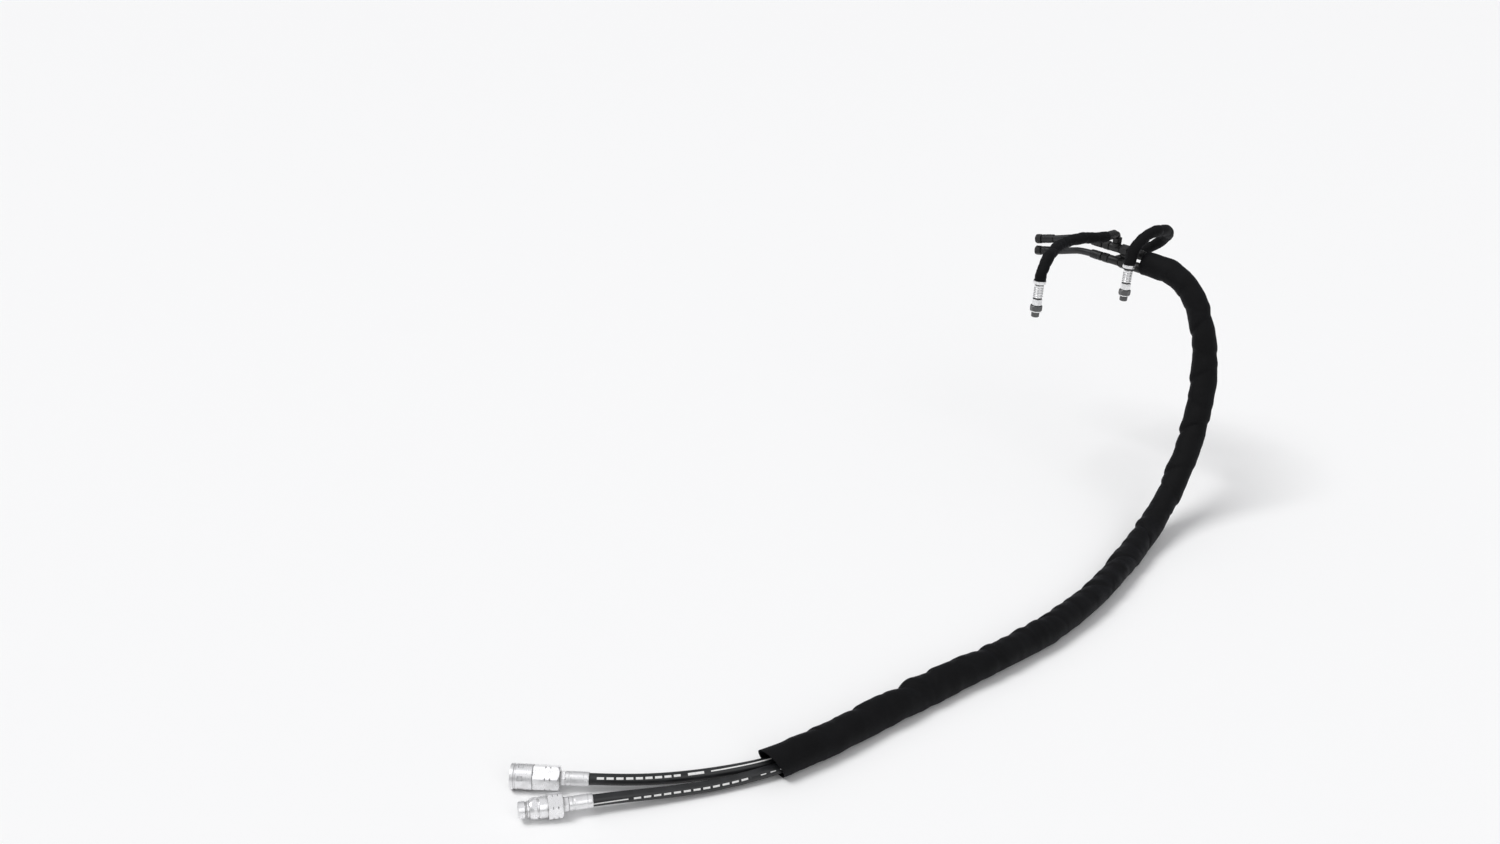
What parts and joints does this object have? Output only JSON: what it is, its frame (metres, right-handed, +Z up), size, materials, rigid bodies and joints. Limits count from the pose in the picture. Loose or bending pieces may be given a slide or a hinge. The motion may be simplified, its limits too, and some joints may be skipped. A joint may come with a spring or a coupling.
{
  "type": "hydraulic hose assembly",
  "caption": "Long hydraulic hose pair in a textile sleeve with flat-face quick couplers, feeding tees and short branch hoses with threaded port fittings.",
  "frame": {"origin": "centre of the near base port's sealing face, where the port stud leaves the seal", "axes": "+Z up along the port studs' axis, out of the port; -Y is the side from which the long hoses come; the long hoses run towards -X on a floor 0.41 m below the origin"},
  "size_m": [1.8297, 0.6636, 0.5581],
  "materials": {
    "hose_rubber": "smooth extruded hose cover with a soft satin shine",
    "liner_rubber": "nitrile rubber",
    "wire_braid": "brass plated steel wire braid",
    "sleeve_textile": "black woven nylon, slightly shiny",
    "coupler_zinc": "bright zinc plated, machined",
    "bright_steel": "ground steel",
    "port_zinc": "bright zinc plated, crimped",
    "dark_fitting": "black coated steel fittings, satin"
  },
  "bodies": {
    "hose_set": {"upper_hose_cover": "hose_rubber", "lower_hose_cover": "hose_rubber", "loop_hose_cover": "hose_rubber", "port_branch_hose_cover": "hose_rubber", "far_upper_hose_cover": "hose_rubber", "far_lower_hose_cover": "hose_rubber", "upper_hose_liner": "liner_rubber", "lower_hose_liner": "liner_rubber", "branch_hose_liners": "liner_rubber", "stem_seal": "liner_rubber", "bore_seal": "liner_rubber", "nose_seal": "liner_rubber", "port_seal_lips": "liner_rubber", "upper_hose_wire_braid": "wire_braid", "lower_hose_wire_braid": "wire_braid", "branch_wire_braids": "wire_braid", "main_sleeve": "sleeve_textile", "loop_sleeve": "sleeve_textile", "port_branch_sleeve": "sleeve_textile", "female_coupler_body": "coupler_zinc", "male_coupler_body": "coupler_zinc", "female_hose_insert": "coupler_zinc", "male_hose_insert": "coupler_zinc", "female_coupler_ferrule": "coupler_zinc", "male_coupler_ferrule": "coupler_zinc", "valve_stem": "bright_steel", "poppet_guide": "bright_steel", "locking_balls": "bright_steel", "locking_sleeve_spring": "bright_steel", "valve_spring": "bright_steel", "poppet_spring": "bright_steel", "sleeve_retaining_ring": "bright_steel", "base_port_adaptor": "port_zinc", "rod_port_adaptor": "port_zinc", "port_inserts": "port_zinc", "port_ferrules": "port_zinc", "port_seal_rings": "port_zinc", "sleeve_band_clamps": "port_zinc", "upper_tee": "dark_fitting", "lower_tee": "dark_fitting", "tee_main_nuts": "dark_fitting", "tee_main_inserts": "dark_fitting", "tee_main_ferrules": "dark_fitting", "branch_elbow": "dark_fitting", "tee_branch_nuts": "dark_fitting", "tee_branch_inserts": "dark_fitting", "tee_branch_ferrules": "dark_fitting", "far_inserts": "dark_fitting", "far_ferrules": "dark_fitting"},
    "locking_sleeve": {"locking_sleeve": "coupler_zinc", "locking_sleeve_race": "bright_steel"},
    "valve_sleeve": {"valve_sleeve": "bright_steel"},
    "male_poppet": {"male_poppet": "bright_steel"},
    "base_port_nut": {"base_port_nut": "port_zinc"},
    "rod_port_nut": {"rod_port_nut": "port_zinc"},
    "far_upper_nut": {"far_upper_swivel_nut": "dark_fitting"},
    "far_lower_nut": {"far_lower_swivel_nut": "dark_fitting"}
  },
  "joints": [
    {"name": "locking_sleeve_slide", "type": "slide", "parent": "hose_set", "child": "locking_sleeve", "axis": [-0.7431, 0.6691, 0], "range_m": [0, 0.0045], "deforming": ["locking_sleeve_spring"]},
    {"name": "valve_sleeve_slide", "type": "slide", "parent": "hose_set", "child": "valve_sleeve", "axis": [0.7431, -0.6691, 0], "range_m": [0, 0.01], "stiffness_N_per_m": 1500, "springref_m": -0.004, "deforming": ["valve_spring"]},
    {"name": "male_poppet_slide", "type": "slide", "parent": "hose_set", "child": "male_poppet", "axis": [0.8862, -0.4633, 0], "range_m": [0, 0.01], "stiffness_N_per_m": 1500, "springref_m": -0.004, "deforming": ["poppet_spring"]},
    {"name": "base_port_nut_spin", "type": "hinge", "parent": "hose_set", "child": "base_port_nut", "pos_m": [0, 0, 0.0208], "axis": [0, 0, 1], "continuous": true},
    {"name": "rod_port_nut_spin", "type": "hinge", "parent": "hose_set", "child": "rod_port_nut", "pos_m": [-0.2435, 0.052, 0.0208], "axis": [0, 0, 1], "continuous": true},
    {"name": "far_upper_nut_spin", "type": "hinge", "parent": "hose_set", "child": "far_upper_nut", "pos_m": [0.02829, 0.25768, 0.05458], "axis": [-0.1204, 0.9631, -0.2408], "continuous": true},
    {"name": "far_lower_nut_spin", "type": "hinge", "parent": "hose_set", "child": "far_lower_nut", "pos_m": [0.02721, 0.25383, 0.02832], "axis": [-0.1257, 0.974, -0.1885], "continuous": true}
  ]
}
